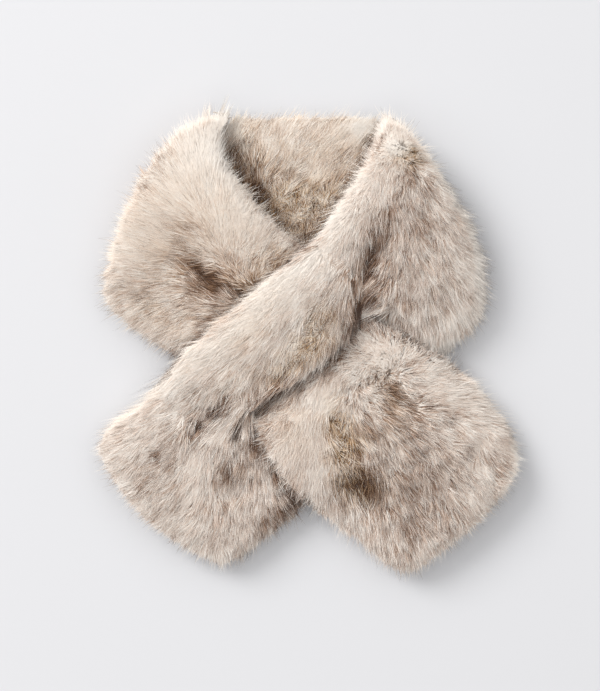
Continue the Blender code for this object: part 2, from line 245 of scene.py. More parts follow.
RIGHT_FLOWS = (
    # right collar, round its edge
    (388, 118, 0.0, -1.0), (405, 128, 0.5, -0.85), (425, 160, 0.95, -0.2), (450, 190, 0.95, -0.1),
    (470, 220, 1.0, 0.0), (484, 260, 1.0, 0.05), (486, 300, 0.9, 0.4), (470, 335, 0.5, 0.85),
    (445, 345, 0.1, 1.0),
    # pale roll along the neck
    (372, 140, -0.6, -0.7), (350, 175, -0.85, -0.4), (330, 205, -0.95, 0.0), (315, 230, -0.9, 0.4),
    # right collar, its broad back
    (388, 148, -0.5, 0.6), (412, 172, 0.15, 0.95), (432, 188, 0.6, 0.75), (405, 195, 0.1, 1.0),
    (400, 230, 0.0, 1.0), (385, 185, -0.4, 0.9), (380, 215, -0.2, 1.0), (365, 240, -0.4, 0.9),
    (350, 235, -0.5, 0.85), (340, 260, -0.6, 0.8), (430, 230, 0.65, 0.75), (450, 270, 0.6, 0.8),
    (420, 270, 0.1, 1.0), (440, 310, 0.2, 1.0), (400, 310, -0.3, 0.95), (375, 280, -0.5, 0.85),
    # strap, upper edge and back
    (310, 250, -0.7, 0.7), (290, 262, -0.85, 0.45), (260, 285, -0.9, 0.4), (225, 312, -0.9, 0.4),
    (195, 338, -0.9, 0.4), (175, 360, -0.85, 0.5), (330, 270, -0.6, 0.8), (300, 290, -0.75, 0.65),
    (270, 315, -0.8, 0.6), (240, 340, -0.85, 0.5), (205, 370, -0.85, 0.5), (355, 300, -0.3, 0.95),
    (335, 320, -0.35, 0.93), (305, 330, -0.4, 0.9), (345, 335, 0.15, 0.98), (320, 352, 0.0, 1.0),
    (290, 370, -0.2, 0.95), (260, 385, -0.5, 0.85), (240, 400, -0.5, 0.87),
    # strap, hanging over its lower edge
    (345, 348, -0.05, 1.0), (318, 366, -0.3, 0.95), (288, 386, -0.5, 0.85), (262, 402, -0.5, 0.85),
    # left tail, round its edge
    (160, 375, -0.85, 0.45), (130, 405, -0.95, 0.3), (105, 430, -0.98, 0.15), (103, 455, -0.95, 0.3),
    (120, 485, -0.85, 0.5), (150, 515, -0.75, 0.65), (185, 550, -0.5, 0.85), (215, 565, -0.15, 1.0),
    (245, 550, 0.25, 0.97), (280, 520, 0.5, 0.85), (295, 495, 0.55, 0.8),
    # left tail, its broad back
    (200, 385, -0.75, 0.65), (230, 400, -0.5, 0.85), (170, 420, -0.8, 0.6), (150, 450, -0.8, 0.6),
    (190, 430, -0.5, 0.85), (180, 480, -0.6, 0.8), (220, 450, -0.2, 1.0), (250, 440, -0.05, 1.0),
    (220, 510, -0.25, 0.95), (260, 490, 0.1, 1.0),
)
NECK_FLOWS = (
    (240, 125, 0.2, -0.98), (260, 150, 0.35, -0.93), (300, 120, 0.35, -0.93), (350, 120, 0.5, -0.85),
    (300, 160, 0.5, -0.85), (340, 150, 0.65, -0.75), (290, 200, 0.35, -0.9), (320, 190, 0.6, -0.8),
    (300, 230, 0.2, -0.95),
)
FLOWS = {"left": LEFT_FLOWS, "right": RIGHT_FLOWS, "neck": NECK_FLOWS}

# Tone and gold of each coat where it has no patch.
BASE_TONE = {"left": 0.28, "right": 0.29, "neck": 0.34}
BASE_GOLD = {"left": 0.0, "right": 0.0, "neck": 0.45}

# A soft patch is picture x, y, long reach, short reach, degrees of turn clockwise and
# what it adds: here darker by and, where it isn't 0, more golden by.
# Besides the coat's own colour, these patches hold painted shade and painted light, as each heading
# below says.
LEFT_COLOUR_AND_SHADE_PATCHES = (
    # left collar: pale crest, edge along the neck, dark hollow; painted shade in the hollow and on the
    # top where the lamps fall most, painted light on the edge along the neck, which turns from the
    # lamps
    (180, 230, 90, 90, 0, 0.03, 0.3), (200, 150, 50, 30, 0, -0.22), (170, 190, 45, 40, 0, -0.12),
    (130, 240, 35, 40, 0, -0.1), (232, 175, 12, 40, -25, -0.15), (262, 220, 12, 34, -40, -0.12),
    (214, 281, 30, 13, 25, 0.34), (201, 266, 25, 10, 37, 0.78), (172, 250, 16, 8, 20, -0.12),
    (180, 270, 16, 8, 15, 0.22), (203, 262, 12, 8, 30, 0.35), (234, 284, 10, 8, 0, 0.24),
    (253, 280, 7, 7, 0, -0.22), (240, 296, 22, 9, 12, 0.3), (274, 262, 20, 14, -30, 0.16, 0.6),
    (250, 282, 18, 12, 0, -0.04, 0.3), (150, 302, 10, 8, 0, 0.14, 0.3), (226, 112, 12, 12, 0, -0.3),
    (170, 322, 45, 16, 20, 0.05, 0.2), (180, 222, 22, 7, 20, 0.06), (128, 190, 10, 10, 0, 0.1),
    (228, 225, 24, 30, -30, -0.15), (152, 162, 28, 18, -40, 0.3), (238, 285, 12, 6, 10, 0.18),
    (201, 295, 20, 15, 15, 0.68), (218, 282, 14, 7, 30, 0.16), (140, 282, 14, 12, 0, 0.04),
    (224, 304, 14, 8, -38, -0.42), (232, 268, 14, 9, 20, 0.24), (192, 333, 11, 8, -38, -0.45),
    # right tail, where it comes out from under the strap and the right collar, with painted shadow of
    # their edges
    (336, 358, 16, 8, -20, 0.45), (356, 328, 22, 5, -65, 0.35), (402, 336, 14, 5, 12, 0.1),
    (380, 327, 20, 4, 20, 0.35),
    # right tail: pale puff, gold beside it, dark spot, frosted back, pale outer edge; painted shade
    # along the strap's edge and in the gaps by the left tail, and painted light on the outer edge away
    # from the lamps
    (292, 425, 26, 26, 0, -0.07, 0.2), (300, 485, 25, 14, 35, -0.04),
    (328, 395, 10, 14, 20, -0.18, 0.2), (333, 418, 8, 10, 0, -0.32, 0.2), (374, 447, 9, 7, 0, 0.2),
    (418, 480, 7, 9, 0, 0.24), (341, 440, 13, 24, -12, 0.72, 1.9), (362, 485, 20, 16, 20, 1.1, 1.0),
    (345, 484, 14, 9, 10, 0.24, 0.6), (370, 503, 12, 7, 0, -0.4), (325, 478, 22, 12, 20, -0.16),
    (346, 458, 14, 8, 20, 0.05, 0.6), (387, 391, 20, 13, 50, 0.66, 0.3), (354, 400, 14, 8, -20, 0.25),
    (396, 420, 22, 24, 30, 0.4, 0.2), (430, 428, 24, 14, 20, 0.22), (364, 442, 14, 11, 10, 0.4, 0.3),
    (388, 440, 16, 10, 0, -0.14), (300, 398, 9, 8, 0, -0.35), (380, 366, 12, 10, 0, -0.25),
    (402, 464, 12, 14, 0, -0.25), (322, 412, 9, 9, 0, -0.15), (350, 392, 12, 16, 0, 0.12),
    (412, 508, 14, 24, 0, 0.16), (500, 478, 14, 16, 0, 0.4), (446, 536, 9, 10, 0, 0.5),
    (432, 492, 7, 26, 0, -0.1), (290, 505, 7, 10, -35, 0.75), (258, 430, 4, 20, -5, 0.55),
    (292, 403, 22, 5, -35, 0.22), (393, 396, 15, 9, 40, 0.26), (400, 498, 15, 15, 0, 0.4),
    (402, 560, 9, 12, 0, 0.4), (422, 545, 10, 12, 0, -0.2), (394, 538, 7, 9, 0, 0.12),
    (378, 539, 9, 10, 0, -0.18), (415, 556, 6, 12, 0, -0.2), (456, 446, 8, 10, 0, 0.2),
    (271, 418, 8, 14, 0, 0.24), (336, 456, 14, 9, 0, 0.14), (474, 442, 8, 12, 0, -0.2),
    (432, 484, 8, 24, 0, -0.16), (461, 376, 16, 9, 35, 0.14), (400, 440, 45, 30, 0, 0.2),
    (430, 460, 40, 35, 0, 0.22), (400, 505, 50, 35, 0, 0.22), (440, 520, 30, 25, 0, 0.12),
    (400, 545, 30, 16, 0, 0.2), (495, 450, 20, 45, 15, -0.06), (524, 468, 9, 45, 8, -0.3),
    (375, 346, 30, 9, 5, -0.12), (460, 390, 20, 26, 40, -0.15), (368, 400, 16, 6, 0, -0.05),
    (370, 318, 12, 7, 0, 0.5),
)
RIGHT_COLOUR_AND_SHADE_PATCHES = (
    # left tail, in the shadow by the right tail
    (290, 506, 8, 10, -35, 0.8), (270, 530, 14, 8, -30, 0.3),
    # pale roll of the right collar and the strap, on to the left tail
    (375, 140, 18, 20, 0, -0.22), (355, 180, 20, 26, -35, -0.14), (332, 220, 22, 26, -35, -0.2),
    (300, 262, 26, 18, -40, -0.26), (265, 292, 28, 18, -40, -0.17, 0.1),
    (230, 322, 26, 18, -40, -0.2, 0.1), (195, 350, 26, 18, -40, -0.18, 0.1),
    (165, 385, 26, 18, -35, -0.08), (125, 425, 24, 22, 0, -0.1), (250, 335, 30, 14, -40, -0.06, 0.2),
    # right collar: pale crest, gold tuft, crease beside the roll with painted shade, lobe; painted
    # light on the outer edge, which turns from the lamps, and in the shaded notch below the lobe
    (392, 122, 22, 16, 0, -0.18), (371, 148, 18, 5, 118, 0.16), (414, 156, 9, 8, 30, 0.22, 1.2),
    (405, 162, 16, 10, 20, 0.1, 0.6), (395, 205, 18, 34, 10, -0.2), (377, 243, 44, 9, 112, 0.8),
    (366, 254, 10, 14, 0, 0.22), (366, 280, 26, 10, 105, 0.84), (367, 312, 12, 9, 0, 0.8),
    (362, 314, 20, 7, 112, 0.3), (358, 296, 8, 12, 0, -0.25), (430, 285, 14, 14, 0, 0.14),
    (426, 245, 30, 45, 0, 0.26), (420, 262, 9, 14, 0, -0.16), (452, 240, 14, 60, -15, -0.08),
    (436, 220, 12, 32, -25, 0.16), (437, 312, 9, 16, 0, 0.36), (384, 275, 9, 30, 10, 0.3),
    (402, 292, 18, 22, 0, 0.14), (379, 142, 6, 14, 30, 0.3), (440, 245, 10, 16, 0, 0.14),
    (423, 188, 14, 20, 0, 0.46), (400, 152, 14, 9, 0, -0.4), (457, 354, 15, 9, 0, -0.9),
    (391, 124, 10, 8, 0, 0.22), (362, 255, 10, 8, -30, 0.14), (374, 302, 6, 16, 15, 0.5),
    (399, 262, 12, 14, 0, 0.24), (402, 308, 9, 9, 0, 0.22), (436, 268, 7, 16, 0, 0.2),
    (398, 228, 10, 9, 0, 0.22), (346, 308, 7, 10, 0, 0.2), (438, 316, 9, 9, 0, 0.18),
    (440, 290, 26, 14, 0, 0.15), (455, 320, 14, 20, 75, -0.18), (400, 318, 34, 8, 20, 0.1),
    (400, 328, 14, 5, 18, 0.05), (484, 262, 10, 62, -5, -0.35), (450, 182, 50, 10, 60, -0.3),
    # strap, with painted shade in the crevices along its edges
    (317, 332, 12, 19, 20, 0.58, 1.6), (286, 368, 22, 9, -35, 0.36, 1.3),
    (306, 348, 16, 16, 0, 0.2, 0.6), (335, 315, 14, 14, 0, 0.16), (278, 397, 24, 8, -35, 0.38),
    (256, 432, 9, 18, 0, 0.48), (220, 428, 14, 12, 0, 0.14), (250, 428, 8, 10, 0, 0.35),
    (296, 252, 22, 8, -38, 0.95), (221, 322, 26, 8, -38, 0.56), (286, 397, 20, 4, -38, 0.4),
    (350, 325, 26, 7, 115, 0.52), (345, 306, 7, 14, 10, 0.2), (335, 348, 14, 9, -30, 0.32),
    (305, 370, 30, 8, -35, 0.15), (240, 380, 30, 12, -25, 0.05, 0.2), (262, 398, 20, 7, -35, 0.15),
    (213, 371, 18, 9, -35, -0.06), (298, 303, 14, 8, -35, -0.2),
    # left tail: two dark folds below the pale roll, dark hollow, shadow by the right tail; the
    # darkness of the folds and the shadow are painted shade
    (194, 430, 17, 7, 127, 1.3), (215, 520, 30, 16, 20, 0.12), (190, 488, 16, 12, 0, -0.06),
    (219, 493, 9, 10, 0, 0.14), (262, 488, 9, 9, 0, 0.22), (168, 484, 8, 8, 0, 0.14),
    (180, 450, 8, 10, 35, -0.25), (218, 412, 8, 12, 30, 0.62), (198, 466, 20, 16, 0, -0.3),
    (238, 468, 16, 9, -30, 0.25), (186, 402, 22, 9, -35, 0.15), (150, 462, 20, 18, 0, 0.12),
    (220, 440, 12, 10, 0, -0.28), (236, 500, 12, 10, 0, 0.2), (210, 542, 9, 9, 0, 0.2),
    (144, 480, 16, 9, 0, 0.46), (260, 466, 13, 11, 0, -0.42), (168, 464, 14, 14, 0, 0.26),
    (153, 451, 8, 8, 0, -0.45), (140, 437, 14, 9, 0, 0.13), (169, 447, 6, 7, 0, 0.24),
    (252, 448, 9, 8, 0, -0.2), (222, 466, 7, 9, 0, -0.18), (194, 500, 10, 8, 0, -0.18),
    (229, 476, 20, 8, -14, 0.62, 0.2), (220, 458, 45, 30, 0, 0.24), (262, 450, 14, 34, 0, 0.04),
    (255, 412, 9, 14, 0, 0.3), (290, 490, 10, 34, -28, 0.4), (160, 500, 25, 15, 30, 0.12),
    (282, 522, 11, 14, -30, 0.6), (240, 540, 20, 15, 0, 0.06),
)
NECK_COLOUR_AND_SHADE_PATCHES = (
    # back of the neck: darkest under the left collar's edge, partly its own brown and partly painted
    # shade of that edge; painted paler at its top corner to paint out the collar's shadow; gold at the
    # low end
    (300, 125, 60, 12, 0, -0.12, -0.2), (231, 130, 9, 20, 0, -1.05, 0.3), (233, 168, 8, 8, 0, -0.35),
    (244, 149, 7, 7, 0, 0.24), (250, 143, 16, 12, 0, 0.24, 0.2), (234, 152, 10, 9, 60, 0.45),
    (246, 186, 34, 9, 58, 0.36), (270, 216, 36, 9, 46, 0.3, 0.2), (298, 238, 14, 8, 30, 0.22, 0.4),
    (285, 150, 45, 25, 0, 0.05), (285, 176, 26, 10, 20, 0.26), (330, 155, 14, 12, 0, 0.08),
    (366, 124, 14, 16, 0, -0.6, -0.3), (300, 205, 34, 18, 0, 0.16, 1.0),
    (290, 233, 14, 9, 0, 0.54, 0.9), (263, 206, 12, 9, 50, 0.85, 0.3), (342, 150, 25, 20, -40, -0.12),
    (371, 139, 5, 10, 0, 0.7, 0.8), (314, 200, 16, 12, 0, 0.72, 0.5), (308, 226, 12, 10, 0, -0.3),
    (312, 177, 14, 8, 0, -0.32), (320, 150, 8, 14, 0, -0.18), (346, 157, 8, 8, 0, 0.2),
    (283, 154, 12, 9, 0, -0.2),
)
COLOUR_AND_SHADE_PATCHES = {"left": LEFT_COLOUR_AND_SHADE_PATCHES, "right": RIGHT_COLOUR_AND_SHADE_PATCHES, "neck": NECK_COLOUR_AND_SHADE_PATCHES}

# Patches that add to the share of long single hairs with dark tips.
LEFT_DARK_TIPS = (
    (105, 270, 20, 60, 0, 0.55), (140, 175, 16, 40, 40, 0.45), (150, 340, 40, 14, 30, 0.35),
    (350, 560, 70, 16, 20, 0.5), (500, 500, 16, 50, 35, 0.35), (200, 115, 60, 25, 0, -0.3),
)
RIGHT_DARK_TIPS = (
    (450, 195, 55, 16, 62, 0.9), (484, 275, 16, 50, 0, 0.8), (460, 340, 30, 14, 0, 0.35),
    (110, 470, 20, 40, 0, 0.45), (170, 545, 60, 16, 35, 0.5), (390, 112, 40, 20, 0, -0.3),
)
NECK_DARK_TIPS = (
    (300, 108, 90, 14, 0, -0.3),
)
DARK_TIPS = {"left": LEFT_DARK_TIPS, "right": RIGHT_DARK_TIPS, "neck": NECK_DARK_TIPS}

# Patches that take a share of the streaks away.
LEFT_SMOOTHED = (
    (302, 430, 26, 22, 0, 0.8), (220, 280, 36, 16, 30, 0.5),
)
RIGHT_SMOOTHED = (
    (245, 312, 70, 20, -40, 0.3),
)
SMOOTHED = {"left": LEFT_SMOOTHED, "right": RIGHT_SMOOTHED}

# Creases, and puffs where the depth that a patch adds is negative.
LEFT_CREASES = (
    (212, 281, 30, 14, 28, 4.5), (243, 296, 18, 7, 8, 4.0), (180, 224, 24, 8, 20, 2.0),
    (365, 490, 16, 11, 20, 6.0), (338, 430, 7, 26, -12, 4.0), (400, 392, 24, 11, 25, 4.0),
    (288, 425, 22, 22, 0, -3.0), (440, 440, 30, 10, 40, -2.5), (400, 460, 34, 9, 45, 3.0),
    (430, 500, 30, 9, 50, 2.5), (235, 200, 10, 40, -35, -2.0),
)
RIGHT_CREASES = (
    (378, 244, 40, 9, 112, 6.0), (366, 282, 24, 8, 105, 4.0), (415, 158, 8, 7, 0, 3.0),
    (430, 260, 34, 9, 80, 2.5), (450, 290, 28, 9, 75, -2.0), (350, 318, 26, 7, 115, 3.0),
    (303, 324, 10, 18, 20, 2.5), (276, 366, 16, 7, -35, 2.5), (206, 416, 22, 7, 127, 7.0),
    (168, 446, 14, 6, 125, 3.0), (185, 435, 26, 8, 127, -3.0), (228, 478, 18, 9, -10, 6.0),
    (145, 400, 30, 12, -35, -2.5),
)
NECK_CREASES = (
    (240, 124, 16, 14, 0, -6.5), (236, 165, 28, 9, 62, 5.0), (264, 202, 36, 9, 48, 4.0),
)
CREASES = {"left": LEFT_CREASES, "right": RIGHT_CREASES, "neck": NECK_CREASES}

# Stage, in metres: a soft window at the upper left, a broad fill nearly overhead, a
# weak card at the right, a pale room.
WINDOW_AT = (-3.35, 2.6, 3.1)
WINDOW_WIDE = 2.7
WINDOW_POWER = 198.0
FILL_FROM = (-0.20, 0.20, 1.0)
FILL_STRENGTH = 2.0
FILL_SPREAD = 2.1
CARD_FROM = (1.0, -0.25, 0.36)
CARD_STRENGTH = 0.35
CARD_SPREAD = 1.2
LIGHT_COLOUR = (1.0, 0.985, 0.96)
SKY_COLOUR = (1.0, 0.99, 0.975, 1.0)
SKY_STRENGTH = 0.25
FLOOR_COLOUR = (0.640, 0.648, 0.678, 1.0)
FLOOR_SIZE = 8.0
CAMERA_HEIGHT = 2.4
MIDDLE_HEIGHT = 0.02


def from_picture(px, py):
    """Millimetres over the floor of a place in the picture."""
    x = (np.asarray(px, float) - PICTURE_WIDE / 2) * PICTURE_MM + PICTURE_MIDDLE_X
    y = (PICTURE_HIGH / 2 - np.asarray(py, float)) * PICTURE_MM + PICTURE_MIDDLE_Y
    return x, y


def unit(v):
    return v / np.maximum(np.linalg.norm(v, axis=-1, keepdims=True), 1e-9)


def cap_faces(bm):
    """Faces of the flat upright ends that close the CAD stretches."""
    planes = []
    for face in bm.faces:
        if abs(face.normal.z) > 0.02:
            continue
        offset = face.normal.dot(face.verts[0].co)
        for plane in planes:
            if plane[0].dot(face.normal) > 0.9995 and abs(plane[1] - offset) < 0.0001:
                plane[2].append(face)
                break
        else:
            planes.append((face.normal.copy(), offset, [face]))
    return [face for plane in planes if len(plane[2]) >= CAP_FACES for face in plane[2]]


def triangles_of(name):
    """A CAD stretch as a joined triangle mesh, in metres."""
    bm = bmesh.new()
    bm.from_mesh(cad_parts[name].data)
    bmesh.ops.remove_doubles(bm, verts=bm.verts, dist=0.00005)
    bmesh.ops.triangulate(bm, faces=bm.faces)
    bm.normal_update()
    return bm


def open_ended(bm):
    """The same mesh without the flat ends that close it."""
    bmesh.ops.delete(bm, geom=cap_faces(bm), context="FACES")
    return bm


def cad_tree(names, closed=True):
    """Faces of one or more CAD stretches, with or without their flat ends."""
    verts = []
    faces = []
    for name in names:
        bm = triangles_of(name) if closed else open_ended(triangles_of(name))
        bm.verts.index_update()
        first = len(verts)
        verts += [v.co / MM for v in bm.verts]
        faces += [tuple(first + v.index for v in f.verts) for f in bm.faces]
        bm.free()
    return BVHTree.FromPolygons(verts, faces)


def stretches_of(coat, same=True):
    """The stretches that this coat goes on over, or the ones with another coat."""
    return [name for name, row in STRETCHES.items() if (row[0] == coat) == same]


def sphere_directions(count):
    """Directions spread evenly over a sphere."""
    number = np.arange(count)
    z = 1.0 - (2.0 * number + 1.0) / count
    angle = number * math.pi * (3.0 - math.sqrt(5.0))
    flat = np.sqrt(1.0 - z * z)
    return np.stack((flat * np.cos(angle), flat * np.sin(angle), z), axis=1)


def closed_in(points, normals, tree):
    """Share of what lies before each point that the tree's faces fill."""
    directions = sphere_directions(CLOSE_RAYS)
    rays = [Vector(direction) for direction in directions]
    facing = np.clip(normals @ directions.T, 0.0, 1.0)
    share = np.zeros(len(points))
    for k, point in enumerate(points):
        start = Vector(point + normals[k])
        for number in np.nonzero(facing[k] > 0.1)[0]:
            if tree.ray_cast(start, rays[number], CLOSE_REACH)[0] is not None:
                share[k] += facing[k, number]
    return share / facing.sum(axis=1)


class Surface:
    """Tips' face of a stretch as open triangles, with the backing face below it."""

    def __init__(self, name, coat):
        bm = open_ended(triangles_of(name))
        bmesh.ops.subdivide_edges(bm, edges=bm.edges, cuts=1)
        bmesh.ops.triangulate(bm, faces=bm.faces)
        inner = [v for v in bm.verts if not v.is_boundary]
        for _ in range(EASING):
            bmesh.ops.smooth_vert(bm, verts=inner, factor=0.5, use_axis_x=True,
                                  use_axis_y=True, use_axis_z=True)
        bm.normal_update()
        self.tips = np.array([v.co for v in bm.verts]) / MM
        root_shade = patches_at(CREASES, coat, self.tips[:, 0], self.tips[:, 1])[0]
        self.tips[:, 2] -= root_shade * (self.tips[:, 2] > PRESSED)
        self.normals = np.array([v.normal for v in bm.verts])
        self.faces = np.array([[v.index for v in f.verts] for f in bm.faces])
        self.cad = cad_tree([name])
        depth = np.array([self.backing_depth(v) for v in bm.verts])
        for _ in range(3):
            for v in inner:
                around = [e.other_vert(v).index for e in v.link_edges]
                depth[v.index] = 0.5 * depth[v.index] + 0.5 * depth[around].mean()
        self.skin = self.tips - self.normals * depth[:, None]
        others = cad_tree(stretches_of(coat, same=False))
        self.closed = closed_in(self.tips, self.normals, others)
        self.coat_tree = cad_tree(stretches_of(coat), closed=False)
        bm.free()

    def backing_depth(self, vert):
        """How far the backing lies below a point of the tips' face."""
        inward = -vert.normal
        hit = self.cad.ray_cast(vert.co / MM + inward * 1.5, inward)
        thick = 1.5 + hit[3] if hit[0] is not None else 60.0
        wanted = float(np.interp(vert.normal.z, (-0.9, 0.0, 0.9),
                                 (SKIN_LOW, SKIN_SIDE, SKIN_TOP)))
        return min(wanted, SKIN_SHARE * thick)


def covered(points, trees):
    """True where other stretches lie on a point and on the places around it."""
    up = Vector((0.0, 0.0, 1.0))
    around = ((0, 0), (1, 0), (-1, 0), (0, 1), (0, -1))
    found = np.ones(len(points), dtype=bool)
    for k, point in enumerate(points):
        for dx, dy in around:
            start = Vector(point) + Vector((dx, dy, 0.0)) * COVER_REACH
            start.z -= 3.0
            if not any(tree.ray_cast(start, up)[0] for tree in trees):
                found[k] = False
                break
    return found


def flow_at(coat, x, y):
    """Lie of the coat in plan and how settled it is, from the rows of its table."""
    rows = np.array(FLOWS[coat], float)
    fx, fy = from_picture(rows[:, 0], rows[:, 1])
    total = np.zeros((len(x), 2))
    weights = np.zeros(len(x))
    for k in range(len(rows)):
        d2 = (x - fx[k]) ** 2 + (y - fy[k]) ** 2
        weight = 1.0 / (d2 + FLOW_REACH**2) ** 2
        total += np.array((rows[k, 2], -rows[k, 3])) * weight[:, None]
        weights += weight
    settled = (1.1 * np.linalg.norm(total, axis=1) / weights) ** 1.5
    return unit(total), np.clip(settled, 0.12, 1.0)


def patch_weight(x, y, px, py, long, short, turn):
    """Share of a soft oval patch at points in plan."""
    cx, cy = from_picture(px, py)
    angle = math.radians(-turn)
    dx = x - cx
    dy = y - cy
    u = (dx * math.cos(angle) + dy * math.sin(angle)) / (long * PICTURE_MM)
    v = (-dx * math.sin(angle) + dy * math.cos(angle)) / (short * PICTURE_MM)
    return np.exp(-(u * u + v * v))


def patches_at(table, coat, x, y):
    """Sums of the first and second measure that a table's patches add at points."""
    sums = np.zeros((2, len(x)))
    for px, py, long, short, turn, *adds in table.get(coat, ()):
        weight = patch_weight(x, y, px, py, long, short, turn)
        sums[:len(adds)] += np.array(adds)[:, None] * weight
    return sums


def tone_and_shade_at(coat, x, y):
    """Darkness and gold of the coat at points in plan: its own colour with the patches' painted shade
    and light.
    """
    dark, gold = patches_at(COLOUR_AND_SHADE_PATCHES, coat, x, y)
    return BASE_TONE[coat] + dark, BASE_GOLD[coat] + gold


def held_back(tree, points, reach, soft):
    """Points held to a reach outside the tree's faces, and round walls to less."""
    held = points.copy()
    for k, point in enumerate(points):
        near, normal, _, far = tree.find_nearest(Vector(point))
        outward = Vector(point) - near
        if outward.dot(normal) < 0.0:
            outward = -outward
            far = -far
        furthest = reach[k] - soft[k] * (1.0 - abs(normal.z))
        if far > furthest and abs(far) > 0.01:
            held[k] = near + outward * (furthest / abs(far))
    return held


def inside_reach(root, end):
    """Share of each hair that stays inside the solids' box and its margin."""
    margin = np.array((REACH_SINGLE, REACH_SINGLE, REACH_UP))
    low = np.array(cad_bounds[0]) / MM - margin
    high = np.array(cad_bounds[1]) / MM + margin
    step = end - root
    step = np.where(np.abs(step) < 1e-6, 1e-6, step)
    room = np.where(step > 0, high - root, low - root) / step
    return np.clip(room.min(axis=1), 0.0, 1.0)[:, None]


class Tufts:
    """Cells through space, each with a middle and a few fixed random numbers."""

    WRAP = 32

    def __init__(self, size, seed):
        self.size = size
        self.table = np.random.default_rng(seed).random((self.WRAP,) * 3 + (8,))

    def nearest(self, points):
        """Middle and random numbers of the tuft nearest to each point."""
        cell = np.floor(points / self.size).astype(int)
        best = np.full(len(points), np.inf)
        middle = np.zeros_like(points)
        numbers = np.zeros((len(points), 5))
        for step in itertools.product((-1, 0, 1), repeat=3):
            near = cell + step
            wrapped = near % self.WRAP
            values = self.table[wrapped[:, 0], wrapped[:, 1], wrapped[:, 2]]
            spot = (near + 0.1 + 0.8 * values[:, 0:3]) * self.size
            d2 = np.sum((points - spot) ** 2, axis=1)
            closer = d2 < best
            best[closer] = d2[closer]
            middle[closer] = spot[closer]
            numbers[closer] = values[closer, 3:8]
        return middle, numbers


def turned(direction, angle):
    c = np.cos(angle)
    s = np.sin(angle)
    x = direction[:, 0] * c - direction[:, 1] * s
    y = direction[:, 0] * s + direction[:, 1] * c
    return np.stack((x, y), axis=1)


def scattered(surface, above, count, rng):
    """Roots, the tips' face over them, its normals and how closed in it is."""
    corners = surface.tips[surface.faces]
    cross = np.cross(corners[:, 1] - corners[:, 0], corners[:, 2] - corners[:, 0])
    weight = np.linalg.norm(cross, axis=1)
    facing = cross[:, 2] / np.maximum(weight, 1e-9)
    weight = weight * np.where(facing < -0.7, UNDERSIDE_SHARE, 1.0)
    if above:
        hidden = covered(corners.mean(axis=1), [cad_tree([name]) for name in above])
        weight[hidden] = 0.0
    total = np.cumsum(weight)
    pick = np.searchsorted(total, rng.random(count) * total[-1])
    a = np.sqrt(rng.random(count))
    b = rng.random(count)
    shares = np.stack((1 - a, a * (1 - b), a * b), axis=1)[:, :, None]
    chosen = surface.faces[pick]
    root = np.sum(surface.skin[chosen] * shares, axis=1)
    over = np.sum(surface.tips[chosen] * shares, axis=1)
    normal = unit(np.sum(surface.normals[chosen] * shares, axis=1))
    closed = np.sum(surface.closed[chosen] * shares[:, :, 0], axis=1)
    return root, over, normal, closed


BIG = Tufts(BIG_TUFT, SEED + 1)
MID = Tufts(MID_TUFT, SEED + 2)
SMALL = Tufts(SMALL_TUFT, SEED + 3)


def streaked(tufts, points, along):
    """Tone number of the tufts, drawn out along the lie."""
    total = np.zeros(len(points))
    for step in STREAK_STEPS:
        total += tufts.nearest(points + along * (STREAK * step))[1][:, 3]
    return total / len(STREAK_STEPS)


